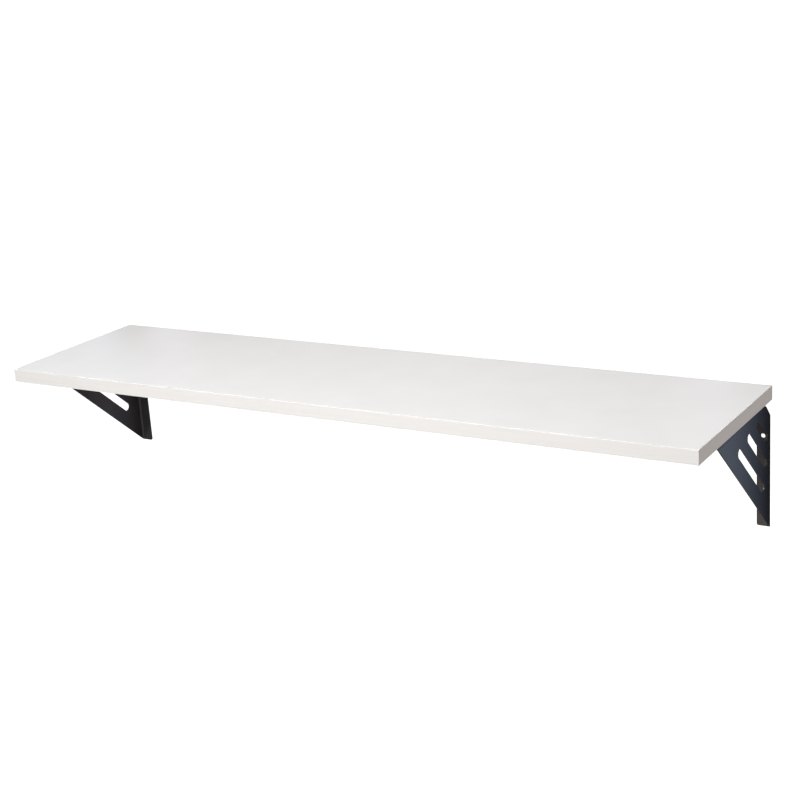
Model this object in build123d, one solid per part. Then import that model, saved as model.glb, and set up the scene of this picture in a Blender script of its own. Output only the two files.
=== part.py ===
"""Wall shelf: one white laminated board carried by two folded sheet steel brackets.

Millimetres, +Z up, +X along the board, +Y into the wall.
The origin is the middle of the board's rear edge: the wall plane is y = 0 and z = 0 is
half way through the thickness of the board.
"""
import math
import os

from build123d import *

# ---- board ----
LENGTH = 1000.0          # along X
DEPTH = 250.0            # front edge to wall
BOARD_T = 18.0           # total thickness, laminates included
LAMINATE_T = 0.5         # each face
FRONT_BAND_T = 2.0       # thick front edge band
BAND_T = 1.0             # rear and end edge bands
FRONT_BAND_R = 0.5       # rounding of the front band
BAND_R = 0.4             # eased edges of the thin bands

# ---- brackets ----
SHEET_T = 2.0            # sheet thickness
BEND_R = 5.0             # outside radius of both folds
BRACKET_DROP = 165.0     # underside of the board to the lower end
BRACKET_REACH = 190.0    # wall to the front tip
FLANGE_W = 18.0          # width of both flanges, outside
END_INSET = 1.0          # web sits this far in from the end of the board
CORNER_CUT = 22.5        # legs of the cut corner where the two folds meet
FLANGE_CORNER_R = 2.5    # rounded free corners of the flanges
HOLE_INSET = 10.0        # holes from the outer face of the web
TOP_STRIP = 15.0         # height of web folded together with the top flange

# ---- slots in the web: distance to wall, distance below board, centre to centre length ----
SLOT_W = 11.5
SLOTS = ((73.0, 67.5, 110.0), (52.0, 49.0, 78.0), (34.0, 31.0, 38.0))

# ---- holes ----
WALL_HOLE_D = 5.5
WALL_HOLES = (73.0, 118.0)   # height above the lower end
BOARD_HOLE_D = 4.5
BOARD_HOLES = (("front", 160.0), ("middle", 100.0), ("rear", 40.0))   # distance to wall

# ---- pan head screws that hold the board ----
SCREW_D = 4.0            # over the thread
SCREW_ROOT_D = 2.8
SCREW_NECK_D = 3.6       # plain shank under the head
SCREW_NECK_L = 2.4
SCREW_L = 14.0           # under the head
SCREW_TIP_L = 2.6
SCREW_PITCH = 1.4
THREAD_RISE = 0.45       # part of a pitch where the flank leaves the root
THREAD_CREST = 0.72      # part of a pitch where the crest lies
HEAD_D = 8.0
HEAD_H = 2.6
HEAD_DOME = 1.1
RECESS_L = 4.4           # cross recess, tip to tip
RECESS_W = 1.1
RECESS_DEPTH = 1.5

# ---- derived levels ----
FRONT_Y = -DEPTH
UNDER_Z = -BOARD_T / 2
TOP_Z = BOARD_T / 2
LOW_Z = UNDER_Z - BRACKET_DROP
WEB_X = LENGTH / 2 - END_INSET
SLOPE = math.atan2(BRACKET_DROP, BRACKET_REACH - SHEET_T)   # the sloping edge ends at the wall flange
CUT_DEPTH = 4 * SHEET_T      # length of every cutter that goes through the sheet
MARGIN = 20.0                # how far waste prisms reach past the bracket
CLOSE = 0.01                 # tolerance for finding edges


def box(x0, x1, y0, y1, z0, z1):
    """Axis aligned block from its limits."""
    size = (x1 - x0, y1 - y0, z1 - z0)
    return Pos((x0 + x1) / 2, (y0 + y1) / 2, (z0 + z1) / 2) * Box(*size)


# ---------------------------------------------------------------- screws
def shank_outline():
    """Half section of the ringed shank as (radius, height) points, head end at height 0."""
    root = SCREW_ROOT_D / 2
    crest = SCREW_D / 2
    neck = SCREW_NECK_D / 2
    thread_end = SCREW_L - SCREW_TIP_L
    points = [(0.0, 0.0), (neck, 0.0), (neck, SCREW_NECK_L), (root, SCREW_NECK_L + neck - root)]
    for turn in range(int((thread_end - SCREW_NECK_L) / SCREW_PITCH)):
        start = SCREW_NECK_L + turn * SCREW_PITCH
        points.append((root, start + THREAD_RISE * SCREW_PITCH))
        points.append((crest, start + THREAD_CREST * SCREW_PITCH))
        points.append((root, start + SCREW_PITCH))
    points.append((root, thread_end))
    points.append((0.0, SCREW_L))
    return points


def screw_shank():
    """Ringed shank standing on z = 0, point up."""
    section = make_face(Plane.XZ * Polyline(*shank_outline(), close=True))
    return revolve(section, Axis.Z)


def screw_head():
    """Domed pan head below z = 0 with a cross recess."""
    head = Pos(0, 0, -HEAD_H / 2) * Cylinder(HEAD_D / 2, HEAD_H)
    head = fillet(head.edges().filter_by(GeomType.CIRCLE).group_by(Axis.Z)[0], HEAD_DOME)
    bar = Box(RECESS_L, RECESS_W, 2 * RECESS_DEPTH)
    cross = bar + Rot(0, 0, 90) * bar
    return head - Pos(0, 0, -HEAD_H) * cross


def screw_places():
    """Name and seat of each board screw, on the lower face of a top flange."""
    places = []
    for side, sign in (("left", -1), ("right", 1)):
        for name, to_wall in BOARD_HOLES:
            seat = Pos(sign * (WEB_X - HOLE_INSET), -to_wall, UNDER_Z - SHEET_T)
            places.append((f"board_screw_{side}_{name}", seat))
    return places


def board_screws():
    """One screw for each hole of the top flanges."""
    screw = screw_shank() + screw_head()
    return {name: seat * screw for name, seat in screw_places()}


def thread_cavities():
    """Room that the shanks take up inside the board."""
    shank = screw_shank()
    return [seat * shank for _, seat in screw_places()]


# ---------------------------------------------------------------- board
def board_layer(z0, z1):
    """Slab between the four edge bands."""
    return box(-LENGTH / 2 + BAND_T, LENGTH / 2 - BAND_T, FRONT_Y + FRONT_BAND_T, -BAND_T, z0, z1)


def board_core():
    """Chipboard core between the laminates, with the cavities of the screws."""
    return board_layer(UNDER_Z + LAMINATE_T, TOP_Z - LAMINATE_T) - thread_cavities()


def top_laminate():
    """Decor sheet on the upper face."""
    return board_layer(TOP_Z - LAMINATE_T, TOP_Z)


def bottom_laminate():
    """Decor sheet on the lower face, pierced by the screws."""
    return board_layer(UNDER_Z, UNDER_Z + LAMINATE_T) - thread_cavities()


def front_edge_band():
    """Thick front band over the full length, its outer edges rounded."""
    band = box(-LENGTH / 2, LENGTH / 2, FRONT_Y, FRONT_Y + FRONT_BAND_T, UNDER_Z, TOP_Z)
    outer = band.faces().sort_by(Axis.Y)[0]
    return fillet(outer.edges(), FRONT_BAND_R)


def rear_edge_band():
    """Thin band on the wall side over the full length."""
    band = box(-LENGTH / 2, LENGTH / 2, -BAND_T, 0, UNDER_Z, TOP_Z)
    outer = band.faces().sort_by(Axis.Y)[-1]
    return fillet(outer.edges(), BAND_R)


def end_edge_band(sign):
    """Thin band on one end, between the front and rear bands."""
    x0, x1 = sorted((sign * (LENGTH / 2 - BAND_T), sign * LENGTH / 2))
    band = box(x0, x1, FRONT_Y + FRONT_BAND_T, -BAND_T, UNDER_Z, TOP_Z)
    outer = band.faces().sort_by(Axis.X)[-1 if sign > 0 else 0]
    return fillet(outer.edges().filter_by(Axis.Y), BAND_R)


# ---------------------------------------------------------------- brackets
def angle_section(leg_x, leg_y):
    """Folded sheet section: corner at the origin, legs towards -X and -Y, fold rounded."""
    points = [(0, 0), (-leg_x, 0), (-leg_x, -SHEET_T), (-SHEET_T, -SHEET_T), (-SHEET_T, -leg_y), (0, -leg_y)]
    face = make_face(Polyline(*points, close=True))
    inner = face.vertices().sort_by_distance((-SHEET_T, -SHEET_T, 0))[0]
    face = fillet(inner, BEND_R - SHEET_T)
    outer = face.vertices().sort_by_distance((0, 0, 0))[0]
    return fillet(outer, BEND_R)


def web_and_wall_flange():
    """Upright fold: web plus the flange that lies on the wall."""
    section = angle_section(FLANGE_W, BRACKET_REACH)
    return Pos(WEB_X, 0, LOW_Z) * extrude(section, BRACKET_DROP - BEND_R)


def top_fold():
    """Level fold: upper strip of the web plus the flange under the board."""
    section = angle_section(FLANGE_W, TOP_STRIP)
    length = BRACKET_REACH - CORNER_CUT + BEND_R
    return Pos(WEB_X, -BRACKET_REACH, UNDER_Z) * extrude(Plane.XZ * section, -length)


def side_prism(points):
    """Solid right through the bracket from (distance to wall, depth below board) points."""
    outline = Plane.YZ * Polyline(*[(-to_wall, UNDER_Z - below) for to_wall, below in points], close=True)
    return extrude(make_face(outline), LENGTH, dir=(1, 0, 0))


def sloped_waste():
    """Material in front of and below the sloping edge."""
    rise = MARGIN * math.tan(SLOPE)
    front = BRACKET_REACH + MARGIN
    low = BRACKET_DROP + rise
    return side_prism([(front, -rise), (SHEET_T - MARGIN, low), (front, low)])


def corner_waste():
    """Cut corner where the two folds meet."""
    reach = CORNER_CUT + MARGIN
    return side_prism([(reach, -MARGIN), (-MARGIN, reach), (-MARGIN, -MARGIN)])


def slot_cutters():
    """Three parallel round-ended slots through the web, parallel to the sloping edge."""
    cutters = []
    for to_wall, below, centres in SLOTS:
        outline = SlotCenterToCenter(centres, SLOT_W, rotation=-math.degrees(SLOPE))
        middle = (WEB_X - CUT_DEPTH / 2, -to_wall, UNDER_Z - below)
        place = Plane(middle, x_dir=(0, 1, 0), z_dir=(1, 0, 0))
        cutters.append(extrude(place * outline, CUT_DEPTH))
    return cutters


def hole_cutters():
    """Screw holes of both flanges."""
    x = WEB_X - HOLE_INSET
    wall_drill = Rot(90, 0, 0) * Cylinder(WALL_HOLE_D / 2, CUT_DEPTH)
    board_drill = Cylinder(BOARD_HOLE_D / 2, CUT_DEPTH)
    cutters = [Pos(x, -SHEET_T / 2, LOW_Z + height) * wall_drill for height in WALL_HOLES]
    cutters += [Pos(x, -to_wall, UNDER_Z - SHEET_T / 2) * board_drill for _, to_wall in BOARD_HOLES]
    return cutters


def flange_corners(bracket):
    """Short edges at the free corners of both flanges."""
    free_x = WEB_X - FLANGE_W
    return [e for e in bracket.edges() if abs(e.center().X - free_x) < CLOSE and e.length < 2 * SHEET_T]


def right_bracket():
    """Bracket at the +X end, flanges turned inwards."""
    bracket = web_and_wall_flange() + top_fold()
    bracket = bracket - sloped_waste() - corner_waste()
    bracket = fillet(flange_corners(bracket), FLANGE_CORNER_R)
    return bracket - slot_cutters() - hole_cutters()


def all_parts():
    """Every separate piece by node name."""
    bracket = right_bracket()
    parts = {
        "board_core": board_core(),
        "top_laminate": top_laminate(),
        "bottom_laminate": bottom_laminate(),
        "front_edge_band": front_edge_band(),
        "rear_edge_band": rear_edge_band(),
        "left_edge_band": end_edge_band(-1),
        "right_edge_band": end_edge_band(1),
        "left_bracket": mirror(bracket, about=Plane.YZ),
        "right_bracket": bracket,
    }
    parts.update(board_screws())
    return parts


os.makedirs("parts", exist_ok=True)
for name, shape in all_parts().items():
    solid = shape.solids()[0]
    print(name, round(solid.volume, 1), "mm3")
    export_step(solid, f"parts/{name}.step")
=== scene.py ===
# %% [markdown]
# # A wall shelf with folded steel brackets
#
# The shelf is a white laminated board, one metre long, on two black brackets. Each bracket is one
# blank of sheet steel, folded twice: one flange lies on the wall and one lies under the board.
#
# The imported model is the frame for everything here. It holds fifteen parts at their real size. What
# Blender adds is the finish of each part, and new meshes where a soft edge or a fine joint shows.

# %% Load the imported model
import math

import bmesh
import bpy
from mathutils import Matrix, Vector


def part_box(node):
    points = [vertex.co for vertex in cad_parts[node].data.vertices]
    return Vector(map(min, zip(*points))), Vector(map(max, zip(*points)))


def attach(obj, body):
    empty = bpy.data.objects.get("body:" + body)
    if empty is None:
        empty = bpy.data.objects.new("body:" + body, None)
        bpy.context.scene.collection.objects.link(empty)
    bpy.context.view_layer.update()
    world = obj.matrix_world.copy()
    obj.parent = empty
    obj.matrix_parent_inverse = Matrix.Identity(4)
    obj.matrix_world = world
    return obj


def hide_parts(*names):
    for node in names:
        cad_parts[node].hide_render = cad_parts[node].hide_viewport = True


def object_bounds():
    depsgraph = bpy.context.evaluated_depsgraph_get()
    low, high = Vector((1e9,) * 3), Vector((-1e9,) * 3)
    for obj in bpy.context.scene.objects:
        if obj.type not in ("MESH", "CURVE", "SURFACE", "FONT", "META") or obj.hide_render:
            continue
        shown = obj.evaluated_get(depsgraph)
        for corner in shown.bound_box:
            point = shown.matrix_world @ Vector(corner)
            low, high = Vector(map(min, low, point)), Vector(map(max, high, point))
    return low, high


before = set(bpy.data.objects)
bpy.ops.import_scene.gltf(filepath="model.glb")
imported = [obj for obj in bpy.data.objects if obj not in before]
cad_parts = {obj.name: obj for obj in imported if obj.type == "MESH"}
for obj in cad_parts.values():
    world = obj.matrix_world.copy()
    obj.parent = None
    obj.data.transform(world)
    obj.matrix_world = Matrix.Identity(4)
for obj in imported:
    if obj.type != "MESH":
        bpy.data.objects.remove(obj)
cad_low, cad_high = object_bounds()
print("CAD nodes:", len(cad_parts))
print("size in metres:", [round(side, 4) for side in cad_high - cad_low])

# %% [markdown]
# ## Camera
#
# The shelf hangs a little below eye level and is seen from its right. The camera looks along a line
# that passes close to the middle of the board, so it is placed by that point, a distance, a turn to
# the right and a height above it. The small roll tips the long edges, as a hand-held camera does.

# %% Camera
AIM = Vector((0.0277, -0.0890, -0.0309))
CAMERA_DISTANCE = 2.089
CAMERA_TURN = math.radians(31.75)
CAMERA_PITCH = math.radians(17.26)
CAMERA_ROLL = math.radians(-3.96)

tilt = Matrix.Rotation(math.pi / 2 - CAMERA_PITCH, 4, "X")
stand = Matrix.Rotation(CAMERA_TURN, 4, "Z") @ tilt @ Matrix.Rotation(CAMERA_ROLL, 4, "Z")
bpy.ops.object.camera_add()
camera = bpy.context.object
camera.matrix_world = Matrix.Translation(AIM) @ stand @ Matrix.Translation((0, 0, CAMERA_DISTANCE))
camera.data.lens = 71.5
camera.data.dof.use_dof = False
bpy.context.scene.camera = camera
print("camera at:", [round(value, 3) for value in camera.matrix_world.translation])

# %% [markdown]
# ## Floor and light
#
# A shelf has no floor of its own, so the floor lies well below it and glows, as a light table does.
# That keeps it pale out to the horizon. It is left out of the reflections and the bounced light,
# because the air of the studio does that work.

# %% Floor
FLOOR_DROP = 0.75
FLOOR_SIZE = 60.0


def shader_of(material):
    """The Principled shader of a material."""
    return next(node for node in material.node_tree.nodes if node.type == "BSDF_PRINCIPLED")


def stage_plane(name, size, place, turn, color, glow):
    """A flat stage piece of one plain colour, which can glow."""
    bpy.ops.mesh.primitive_plane_add(size=size, location=place, rotation=turn)
    plane = bpy.context.object
    plane.name = name
    material = bpy.data.materials.new(name)
    material.use_nodes = True
    shader = shader_of(material)
    shader.inputs["Base Color"].default_value = (*color, 1)
    shader.inputs["Roughness"].default_value = 0.9
    shader.inputs["Emission Color"].default_value = (1, 1, 1, 1)
    shader.inputs["Emission Strength"].default_value = glow
    plane.data.materials.append(material)
    return plane


floor_place = (0, 0, cad_low.z - FLOOR_DROP)
floor = stage_plane("pale_floor", FLOOR_SIZE, floor_place, (0, 0, 0), (0.8, 0.8, 0.8), 0.95)
floor.visible_diffuse = False
floor.visible_glossy = False

# %% [markdown]
# The shelf is made to hang on a wall, and the satin steel mirrors what stands around it. A card
# stands just behind the brackets and glows, so its tones are painted reflections in the steel.
# Only reflections see the card, so it hides nothing from behind.

# %% Glowing card that paints the reflections
WALL_GAP = 0.0015
WALL_SIZE = 5.0

wall_place = (0, cad_high.y + WALL_GAP, 0)
wall = stage_plane("painted_reflection_card", WALL_SIZE, wall_place, (math.pi / 2, 0, 0), (0, 0, 0), 1.0)
wall.visible_camera = False
wall.visible_diffuse = False
wall.visible_shadow = False

# %% [markdown]
# The card has soft bands of seven tones, and the brackets mirror them. The tones were set for the
# main view and do not come from a real wall: dark at the brackets, lighter on both sides of them,
# and dark again towards the middle. Each stands at a distance in metres from the middle of the board,
# and the card is the same on both sides. Another room would give other reflections.

# %% Tones of the card: painted reflections and painted shade
# The card glows in these tones. The bright bands are painted reflections in the brackets, and the dark
# bands paint shade onto the brackets where they meet the wall.
PAINTED_REFLECTION_TONES = (
    (0.35, (0.04, 0.04, 0.05, 1)),
    (0.43, (0.46, 0.43, 0.50, 1)),
    (0.485, (0.03, 0.03, 0.04, 1)),
    (0.502, (0.02, 0.022, 0.03, 1)),
    (0.530, (0.18, 0.22, 0.31, 1)),
    (0.565, (0.54, 0.64, 0.84, 1)),
    (0.60, (0.40, 0.46, 0.56, 1)),
)

card_material = wall.data.materials[0]
card = card_material.node_tree
place = card.nodes.new("ShaderNodeTexCoord")
split = card.nodes.new("ShaderNodeSeparateXYZ")
side = card.nodes.new("ShaderNodeMath")
side.operation = "ABSOLUTE"
span = card.nodes.new("ShaderNodeMapRange")
nearest = PAINTED_REFLECTION_TONES[0][0]
farthest = PAINTED_REFLECTION_TONES[-1][0]
span.inputs["From Min"].default_value = nearest
span.inputs["From Max"].default_value = farthest
tone = card.nodes.new("ShaderNodeValToRGB")
tone.color_ramp.elements[0].color = PAINTED_REFLECTION_TONES[0][1]
tone.color_ramp.elements[1].color = PAINTED_REFLECTION_TONES[-1][1]
for from_middle, color in PAINTED_REFLECTION_TONES[1:-1]:
    stop = (from_middle - nearest) / (farthest - nearest)
    tone.color_ramp.elements.new(stop).color = color
card.links.new(place.outputs["Object"], split.inputs["Vector"])
card.links.new(split.outputs["X"], side.inputs[0])
card.links.new(side.outputs["Value"], span.inputs["Value"])
card.links.new(span.outputs["Result"], tone.inputs["Fac"])
card.links.new(tone.outputs["Color"], shader_of(card_material).inputs["Emission Color"])
print("tones on the card:", len(tone.color_ramp.elements))

# %% [markdown]
# Two large soft lights do the work. One hangs above the board and lights its top. The other stands in
# front, a little higher than the board, so the board's shadow ends halfway down the wall flanges. Both
# stay left of the right-hand end, which is why that end looks grey. A small low light is seen only in
# reflections and puts a warm sheen on the lower end of the right wall flange.

# %% Light


def soft_light(name, place, target, width, height, power, color):
    """A large rectangular light at a place, turned to a target."""
    bpy.ops.object.light_add(type="AREA", location=place)
    lamp = bpy.context.object
    lamp.name = name
    lamp.rotation_euler = (Vector(target) - Vector(place)).to_track_quat("-Z", "Y").to_euler()
    lamp.data.shape = "RECTANGLE"
    lamp.data.size = width
    lamp.data.size_y = height
    lamp.data.energy = power
    lamp.data.color = color
    return lamp


cool = (0.975, 0.985, 1.0)
neutral = (1.0, 0.99, 0.975)
warm = (1.0, 0.9, 0.82)
soft_light("top_light", (0.05, -0.55, 1.7), (0, -0.12, 0), 0.85, 0.9, 24.5, cool)
soft_light("front_light", (0.0, -1.9, 0.5), (0, -0.1, 0), 0.6, 0.5, 21.5, neutral)
low_glow = soft_light("low_glow", (0.10, -1.2, -0.80), (0.49, 0, -0.16), 0.3, 0.18, 0.9, warm)
low_glow.visible_diffuse = False
low_glow.visible_camera = False

# %% [markdown]
# The air of the studio fills the shadows. It is bright and warm from below, dimmer from above, and
# darkest in front, where the front light takes over. The camera sees it as plain white.

# %% Air of the studio
AIR_BELOW = (1.15, 1.04, 0.97, 1)
AIR_LEVEL = (0.44, 0.415, 0.40, 1)
AIR_ABOVE = (0.27, 0.25, 0.235, 1)
AIR_IN_FRONT = 0.3

world = bpy.data.worlds.new("studio")
bpy.context.scene.world = world
world.use_nodes = True
air = world.node_tree
dim = next(node for node in air.nodes if node.type == "BACKGROUND")
direction = air.nodes.new("ShaderNodeTexCoord")
parts = air.nodes.new("ShaderNodeSeparateXYZ")
height = air.nodes.new("ShaderNodeMapRange")
height.inputs["From Min"].default_value = -1
height.inputs["From Max"].default_value = 1
shade = air.nodes.new("ShaderNodeValToRGB")
shade.color_ramp.elements[0].color = AIR_BELOW
shade.color_ramp.elements[1].color = AIR_ABOVE
shade.color_ramp.elements.new(0.5).color = AIR_LEVEL
front = air.nodes.new("ShaderNodeMapRange")
front.inputs["From Min"].default_value = -1
front.inputs["From Max"].default_value = 0
front.inputs["To Min"].default_value = AIR_IN_FRONT
front.inputs["To Max"].default_value = 1
air.links.new(direction.outputs["Generated"], parts.inputs["Vector"])
air.links.new(parts.outputs["Z"], height.inputs["Value"])
air.links.new(height.outputs["Result"], shade.inputs["Fac"])
air.links.new(shade.outputs["Color"], dim.inputs["Color"])
air.links.new(parts.outputs["Y"], front.inputs["Value"])
air.links.new(front.outputs["Result"], dim.inputs["Strength"])

# %% White behind everything
white = air.nodes.new("ShaderNodeBackground")
white.inputs["Color"].default_value = (1, 1, 1, 1)
seen = air.nodes.new("ShaderNodeLightPath")
choose = air.nodes.new("ShaderNodeMixShader")
air.links.new(seen.outputs["Is Camera Ray"], choose.inputs["Fac"])
air.links.new(dim.outputs["Background"], choose.inputs[1])
air.links.new(white.outputs["Background"], choose.inputs[2])
air.links.new(choose.outputs["Shader"], air.nodes["World Output"].inputs["Surface"])
bpy.context.scene.view_settings.view_transform = "Standard"

# %% [markdown]
# ## Helpers for shaping
#
# Each piece starts as a primitive, is shaped in edit mode and is finished with modifiers. An operator
# acts on what is selected, so the helper `pick` clears the selection and then selects by a rule, such
# as "the edges that lie on the front face".

# %% Helpers for shaping
MM = 0.001
NEAR = 0.02 * MM


def block(name, low, high):
    """A box between two corners, its place kept in its mesh."""
    bpy.ops.object.select_all(action="DESELECT")
    size = high - low
    bpy.ops.mesh.primitive_cube_add(size=1, location=(low + high) / 2, scale=size)
    piece = bpy.context.object
    piece.name = name
    piece.data.name = name
    bpy.ops.object.transform_apply(location=True, rotation=True, scale=True)
    return piece


def edit(piece):
    """Opens a piece in edit mode, alone."""
    bpy.ops.object.select_all(action="DESELECT")
    piece.select_set(True)
    bpy.context.view_layer.objects.active = piece
    bpy.ops.object.mode_set(mode="EDIT")


def pick(piece, kind, rule):
    """Selects the VERT, EDGE or FACE elements that pass a rule, and returns how many they are."""
    bpy.ops.mesh.select_mode(type=kind)
    bpy.ops.mesh.select_all(action="DESELECT")
    mesh = bmesh.from_edit_mesh(piece.data)
    group = {"VERT": mesh.verts, "EDGE": mesh.edges, "FACE": mesh.faces}[kind]
    chosen = [item for item in group if rule(item)]
    for item in chosen:
        item.select_set(True)
    mesh.select_flush_mode()
    bmesh.update_edit_mesh(piece.data)
    return len(chosen)


def done():
    """Leaves edit mode."""
    bpy.ops.object.mode_set(mode="OBJECT")


def apply_modifier(piece, kind, **settings):
    """Adds a modifier with these settings and applies it."""
    bpy.ops.object.select_all(action="DESELECT")
    piece.select_set(True)
    bpy.context.view_layer.objects.active = piece
    bpy.ops.object.modifier_add(type=kind)
    modifier = piece.modifiers[-1]
    for name, value in settings.items():
        setattr(modifier, name, value)
    bpy.ops.object.modifier_apply(modifier=modifier.name)


def lies_on(edge, axis, level):
    """True for an edge whose two ends are on the plane where that axis has this level."""
    return all(abs(corner.co[axis] - level) < NEAR for corner in edge.verts)


def smooth_shade(piece):
    """Smooth shading on the rounded faces, flat shading kept on the broad ones."""
    bpy.ops.object.select_all(action="DESELECT")
    piece.select_set(True)
    bpy.context.view_layer.objects.active = piece
    bpy.ops.object.shade_smooth_by_angle(angle=math.radians(40))
    apply_modifier(piece, "WEIGHTED_NORMAL", keep_sharp=True, weight=100)


# %% [markdown]
# ## Brackets: the folded blank
#
# The real bracket is laser cut from 2 mm steel and folded in a press. It could be drawn flat and bent
# with a modifier. It is quicker to start from a box, because three faces of a box already stand as the
# folded sheet does: web, wall flange and board flange. The other three faces are deleted, the two
# folds are rounded, and Solidify gives the sheet its thickness inwards.

# %% The folded blank
SHEET = 2.0 * MM
FOLD_RADIUS = 5.0 * MM
FOLD_STEPS = 12
OVERHANG = 6.0 * MM

bracket_low, bracket_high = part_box("right_bracket")
web_x = bracket_high.x
wall_y = bracket_high.y
under_z = bracket_high.z
start_low = bracket_low - Vector((0, OVERHANG, 0))
bracket = block("right_folded_bracket", start_low, bracket_high)
edit(bracket)
open_sides = (Vector((-1, 0, 0)), Vector((0, -1, 0)), Vector((0, 0, -1)))
pick(bracket, "FACE", lambda face: any(face.normal.dot(side) > 0.99 for side in open_sides))
bpy.ops.mesh.delete(type="FACE")
folds = pick(
    bracket,
    "EDGE",
    lambda edge: lies_on(edge, 0, web_x) and (lies_on(edge, 1, wall_y) or lies_on(edge, 2, under_z)),
)
bpy.ops.mesh.bevel(offset=FOLD_RADIUS, segments=FOLD_STEPS, affect="EDGES")
done()
apply_modifier(bracket, "SOLIDIFY", thickness=SHEET, offset=-1, use_even_offset=True)
print("folds:", folds, "faces:", len(bracket.data.polygons))

# %% [markdown]
# ## Brackets: the sloping edge and the cut corner
#
# Two straight cuts give the side view its shape. The long one runs from the front tip down to the wall
# flange. The short one takes off the corner where both folds would meet, which a press can't fold.
# Bisect cuts the whole solid along a plane, drops one side and closes the cut.

# %% The sloping edge and the cut corner
CORNER_CUT = 22.5 * MM

drop = bracket_high.z - bracket_low.z
reach = bracket_high.y - bracket_low.y
slope = math.atan2(drop, reach - SHEET)
along_slope = Vector((0, math.cos(slope), -math.sin(slope)))
off_slope = Vector((0, -math.sin(slope), -math.cos(slope)))
front_tip = Vector((web_x, bracket_low.y, under_z))


def cut_off(piece, place, direction):
    """Cuts a solid along a plane, drops the side that the direction points to and closes the cut."""
    edit(piece)
    bpy.ops.mesh.select_all(action="SELECT")
    bpy.ops.mesh.bisect(plane_co=place, plane_no=direction, use_fill=True, clear_outer=True)
    bpy.ops.mesh.select_all(action="SELECT")
    bpy.ops.mesh.remove_doubles(threshold=NEAR / 4)
    bpy.ops.mesh.normals_make_consistent(inside=False)
    done()


cut_off(bracket, front_tip, off_slope)
cut_off(bracket, Vector((web_x, wall_y - CORNER_CUT, under_z)), Vector((0, 1, 1)).normalized())
print("slope in degrees:", round(math.degrees(slope), 1), "faces:", len(bracket.data.polygons))

# %% Rounded free corners of the flanges
FLANGE_CORNER = 2.5 * MM

edit(bracket)
corners = pick(
    bracket,
    "EDGE",
    lambda edge: lies_on(edge, 0, bracket_low.x) and edge.calc_length() < 2 * SHEET,
)
bpy.ops.mesh.bevel(offset=FLANGE_CORNER, segments=6, affect="EDGES")
done()
print("rounded corners:", corners)

# %% [markdown]
# ## Brackets: slots and screw holes
#
# Three round-ended slots run parallel to the sloping edge, and the flanges have plain holes: two to
# the wall and three to the board. A slot cutter is a cylinder pulled out to a bar: its two halves are
# moved apart in edit mode. All cutters are joined, and one Boolean takes them out of the sheet.

# %% Slots and screw holes
SLOT_WIDTH = 11.5 * MM
SLOTS = ((73.0, 67.5, 110.0), (52.0, 49.0, 78.0), (34.0, 31.0, 38.0))   # to wall, below board, length
WALL_HOLE = 5.5 * MM
WALL_HOLE_HEIGHTS = (73.0, 118.0)
BOARD_HOLE = 4.5 * MM
BOARD_HOLE_PLACES = (160.0, 100.0, 40.0)
HOLE_INSET = 10.0 * MM
CUTTER_DEPTH = 8.0 * MM
ROUND_STEPS = 48


def cutter(place, diameter, stretch, along, through):
    """A round or round-ended bar that cuts at a place, pulled out along one direction."""
    bpy.ops.object.select_all(action="DESELECT")
    half_step = math.pi / ROUND_STEPS
    bpy.ops.mesh.primitive_cylinder_add(
        vertices=ROUND_STEPS, radius=diameter / 2, depth=CUTTER_DEPTH, rotation=(0, 0, half_step)
    )
    bar = bpy.context.object
    bpy.ops.object.transform_apply(location=True, rotation=True, scale=True)
    edit(bar)
    for sign in (1, -1):
        pick(bar, "VERT", lambda corner: corner.co.x * sign > 0)
        bpy.ops.transform.translate(value=(sign * stretch / 2, 0, 0))
    done()
    turn = Matrix((along, through.cross(along), through)).transposed().to_4x4()
    bar.matrix_world = Matrix.Translation(place) @ turn
    bpy.ops.object.transform_apply(location=True, rotation=True, scale=True)
    return bar


across = Vector((1, 0, 0))
inwards = Vector((0, 1, 0))
up = Vector((0, 0, 1))
hole_x = web_x - HOLE_INSET
cutters = []
for to_wall, below, length in SLOTS:
    middle = Vector((web_x - SHEET / 2, wall_y - to_wall * MM, under_z - below * MM))
    cutters.append(cutter(middle, SLOT_WIDTH, length * MM, along_slope, across))
for height in WALL_HOLE_HEIGHTS:
    middle = Vector((hole_x, wall_y - SHEET / 2, bracket_low.z + height * MM))
    cutters.append(cutter(middle, WALL_HOLE, 0, across, inwards))
for to_wall in BOARD_HOLE_PLACES:
    middle = Vector((hole_x, wall_y - to_wall * MM, under_z - SHEET / 2))
    cutters.append(cutter(middle, BOARD_HOLE, 0, across, up))
bpy.ops.object.select_all(action="DESELECT")
for bar in cutters:
    bar.select_set(True)
bpy.context.view_layer.objects.active = cutters[0]
bpy.ops.object.join()
punch = bpy.context.object
apply_modifier(bracket, "BOOLEAN", object=punch, operation="DIFFERENCE", solver="EXACT")
bpy.data.objects.remove(punch)
print("openings:", len(cutters), "faces:", len(bracket.data.polygons))

# %% [markdown]
# ## Brackets: soft edges and the second bracket
#
# Powder coat flows a little in the oven, so no edge of the bracket is sharp. A narrow bevel makes that
# edge, and it is what catches the light along the sheet. The left bracket is the same blank mirrored,
# so it is copied before the bevel and its faces are turned outwards again.

# %% The second bracket
bpy.ops.object.select_all(action="DESELECT")
bracket.select_set(True)
bpy.context.view_layer.objects.active = bracket
bpy.ops.object.duplicate(linked=False)
left_bracket = bpy.context.object
left_bracket.name = "left_folded_bracket"
left_bracket.data.name = "left_folded_bracket"
left_bracket.scale.x = -1
bpy.ops.object.transform_apply(location=True, rotation=True, scale=True)
edit(left_bracket)
bpy.ops.mesh.select_all(action="SELECT")
bpy.ops.mesh.normals_make_consistent(inside=False)
done()

# %% Soft edges
EDGE_SOFTNESS = 0.3 * MM


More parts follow.
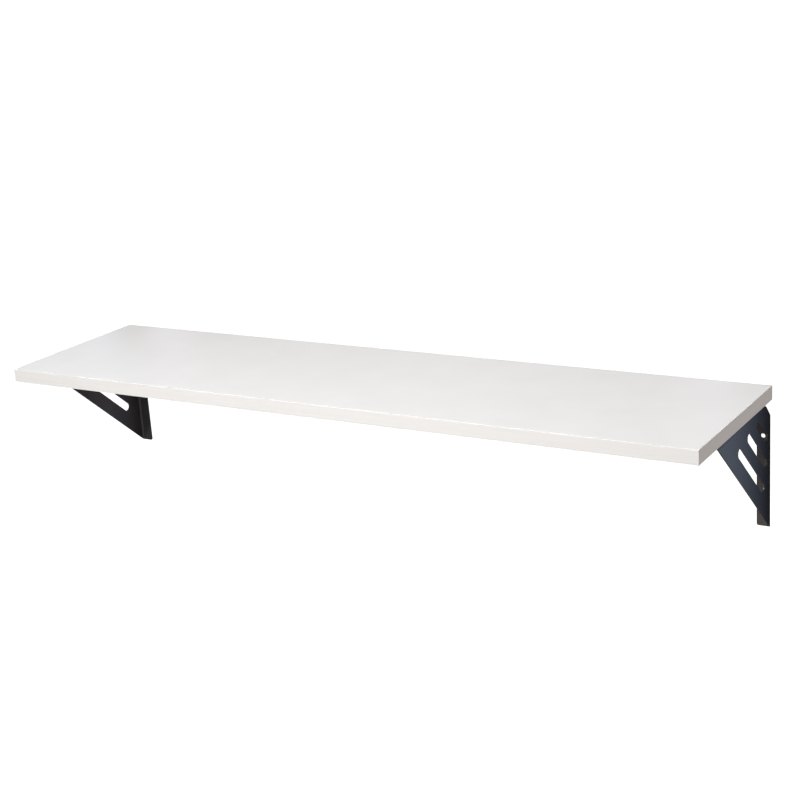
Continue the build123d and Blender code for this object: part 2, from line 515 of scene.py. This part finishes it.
def soften(piece, width, steps):
    """Rounds every sharp edge of a piece and gives the new faces the second material slot."""
    apply_modifier(
        piece,
        "BEVEL",
        width=width,
        segments=steps,
        limit_method="ANGLE",
        angle_limit=math.radians(35),
        use_clamp_overlap=False,
        material=1,
    )
    smooth_shade(piece)


# %% [markdown]
# ## Black powder coat
#
# Satin black powder coat is a plastic skin baked on the steel. It is near black, has a fine
# orange-peel surface, and is thinner and shinier on the edges. The grain is a noise in real
# millimetres that drives bump and gloss. A second material does the shiny edges.

# %% Helpers for finishes


def finish_named(name):
    """A new node material, its node tree and its Principled shader."""
    material = bpy.data.materials.new(name)
    material.use_nodes = True
    return material, material.node_tree, shader_of(material)


def grain(tree, size_mm, detail, stretch=(1, 1, 1)):
    """Noise whose features are about size_mm across, stretched along an axis if asked."""
    place = tree.nodes.new("ShaderNodeTexCoord")
    mapping = tree.nodes.new("ShaderNodeMapping")
    noise = tree.nodes.new("ShaderNodeTexNoise")
    mapping.inputs["Scale"].default_value = [1 / (size_mm * MM * part) for part in stretch]
    noise.inputs["Scale"].default_value = 1.0
    noise.inputs["Detail"].default_value = detail
    tree.links.new(place.outputs["Object"], mapping.inputs["Vector"])
    tree.links.new(mapping.outputs["Vector"], noise.inputs["Vector"])
    return noise.outputs["Fac"]


def blend_colors(tree, factor, first, second, socket):
    """Runs a colour socket from one colour to another with a noise."""
    ramp = tree.nodes.new("ShaderNodeValToRGB")
    ramp.color_ramp.elements[0].position = 0.3
    ramp.color_ramp.elements[0].color = (*first, 1)
    ramp.color_ramp.elements[1].position = 0.7
    ramp.color_ramp.elements[1].color = (*second, 1)
    tree.links.new(factor, ramp.inputs["Fac"])
    tree.links.new(ramp.outputs["Color"], socket)


def vary(tree, factor, low, high, socket):
    """Runs a number socket between two values with a noise."""
    spread = tree.nodes.new("ShaderNodeMapRange")
    spread.inputs["From Min"].default_value = 0.3
    spread.inputs["From Max"].default_value = 0.7
    spread.inputs["To Min"].default_value = low
    spread.inputs["To Max"].default_value = high
    tree.links.new(factor, spread.inputs["Value"])
    tree.links.new(spread.outputs["Result"], socket)


def relief(tree, factor, depth_mm, strength, shader):
    """Raises the surface by a noise, as bump."""
    bump = tree.nodes.new("ShaderNodeBump")
    bump.inputs["Strength"].default_value = strength
    bump.inputs["Distance"].default_value = depth_mm * MM
    tree.links.new(factor, bump.inputs["Height"])
    tree.links.new(bump.outputs["Normal"], shader.inputs["Normal"])


# %% Black powder coat
powder, tree, shader = finish_named("satin_black_powder_coat")
dark = (0.0195, 0.0185, 0.0205)
light = (0.0245, 0.0235, 0.0255)
blend_colors(tree, grain(tree, 14, 3), dark, light, shader.inputs["Base Color"])
vary(tree, grain(tree, 1.4, 4), 0.26, 0.33, shader.inputs["Roughness"])
relief(tree, grain(tree, 0.9, 2), 0.02, 0.35, shader)
shader.inputs["Specular IOR Level"].default_value = 0.5

edge_powder, tree, shader = finish_named("thin_black_powder_coat_on_edges")
dark = (0.020, 0.021, 0.026)
light = (0.034, 0.035, 0.040)
blend_colors(tree, grain(tree, 5, 3), dark, light, shader.inputs["Base Color"])
vary(tree, grain(tree, 2.0, 3), 0.24, 0.32, shader.inputs["Roughness"])
relief(tree, grain(tree, 0.9, 2), 0.01, 0.25, shader)

for piece, node in ((bracket, "right_bracket"), (left_bracket, "left_bracket")):
    piece.data.materials.append(powder)
    piece.data.materials.append(edge_powder)
    soften(piece, EDGE_SOFTNESS, 3)
    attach(piece, "root")
    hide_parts(node)
    print(piece.name, "faces:", len(piece.data.polygons))

# %% [markdown]
# ## Board: edge bands
#
# The chipboard core shows nowhere, because plastic bands close all four sides. The front band is 2 mm
# thick and the other three are thin, and all have their outer edges lightly rounded. A band is a box
# whose outer edges are bevelled in edit mode. Its inner edges get a very small bevel, which leaves the
# hairline joint that shows where a band meets the laminate.

# %% Edge bands
FRONT_ROUNDING = 0.5 * MM
THIN_ROUNDING = 0.4 * MM
JOINT_EASE = 0.12 * MM


def edge_band(name, node, axis, outwards, rounding, open_ends):
    """A band on one side of the board, round outside and eased where it meets the laminates."""
    low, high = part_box(node)
    band = block(name, low, high)
    outer = high[axis] if outwards > 0 else low[axis]
    inner = low[axis] if outwards > 0 else high[axis]
    along = 1 - axis
    edit(band)
    pick(
        band,
        "EDGE",
        lambda edge: lies_on(edge, axis, outer)
        and (open_ends or not (lies_on(edge, along, low[along]) or lies_on(edge, along, high[along]))),
    )
    bpy.ops.mesh.bevel(offset=rounding, segments=7, affect="EDGES")
    pick(
        band,
        "EDGE",
        lambda edge: lies_on(edge, axis, inner) and (lies_on(edge, 2, low.z) or lies_on(edge, 2, high.z)),
    )
    bpy.ops.mesh.bevel(offset=JOINT_EASE, segments=2, affect="EDGES")
    done()
    smooth_shade(band)
    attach(band, "root")
    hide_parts(node)
    return band


bands = [
    edge_band("rounded_front_band", "front_edge_band", 1, -1, FRONT_ROUNDING, True),
    edge_band("eased_rear_band", "rear_edge_band", 1, 1, THIN_ROUNDING, True),
    edge_band("eased_left_band", "left_edge_band", 0, -1, THIN_ROUNDING, False),
    edge_band("eased_right_band", "right_edge_band", 0, 1, THIN_ROUNDING, False),
]
print("bands:", [band.name for band in bands])

# %% [markdown]
# ## Board: white laminate and bands
#
# White melamine looks flat from afar, but it has a pearl texture from the press plate, about a
# millimetre across and a few hundredths deep, and very faint clouds of tone. The bands are a moulded
# plastic with faint lines along their length, slightly warmer and duller than the faces.

# %% White laminate
laminate, tree, shader = finish_named("white_pearl_laminate")
dark = (0.800, 0.798, 0.792)
light = (0.822, 0.822, 0.818)
blend_colors(tree, grain(tree, 60, 4), dark, light, shader.inputs["Base Color"])
vary(tree, grain(tree, 2.5, 4), 0.40, 0.50, shader.inputs["Roughness"])
relief(tree, grain(tree, 1.1, 3), 0.03, 0.18, shader)

band_plastic, tree, shader = finish_named("white_band_plastic")
dark = (0.806, 0.800, 0.790)
light = (0.830, 0.826, 0.818)
blend_colors(tree, grain(tree, 3, 3, (40, 40, 1)), dark, light, shader.inputs["Base Color"])
vary(tree, grain(tree, 1.2, 3, (30, 30, 1)), 0.60, 0.70, shader.inputs["Roughness"])
shader.inputs["IOR"].default_value = 1.2
relief(tree, grain(tree, 1.0, 3, (20, 20, 1)), 0.015, 0.15, shader)
for band in bands:
    band.data.materials.append(band_plastic)

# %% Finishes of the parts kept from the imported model
chipboard, tree, shader = finish_named("pressed_chipboard")
dark = (0.30, 0.19, 0.10)
light = (0.55, 0.40, 0.25)
blend_colors(tree, grain(tree, 4, 6, (3, 3, 1)), dark, light, shader.inputs["Base Color"])
vary(tree, grain(tree, 2, 4), 0.75, 0.95, shader.inputs["Roughness"])
relief(tree, grain(tree, 1.5, 6), 0.4, 0.8, shader)

zinc, tree, shader = finish_named("bright_zinc")
shader.inputs["Metallic"].default_value = 1.0
dark = (0.60, 0.62, 0.65)
light = (0.74, 0.75, 0.76)
blend_colors(tree, grain(tree, 1.5, 3), dark, light, shader.inputs["Base Color"])
vary(tree, grain(tree, 0.8, 4), 0.22, 0.38, shader.inputs["Roughness"])
relief(tree, grain(tree, 0.3, 2), 0.01, 0.2, shader)


def finish_for(node):
    """The material of a part by its name."""
    if "screw" in node:
        return zinc
    if "laminate" in node:
        return laminate
    if "band" in node:
        return band_plastic
    if "bracket" in node:
        return powder
    return chipboard


for name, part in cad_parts.items():
    part.data.materials.clear()
    part.data.materials.append(finish_for(name))

# %% Size of the imported model
print("CAD box:", [round(value, 4) for value in (*cad_low, *cad_high)])
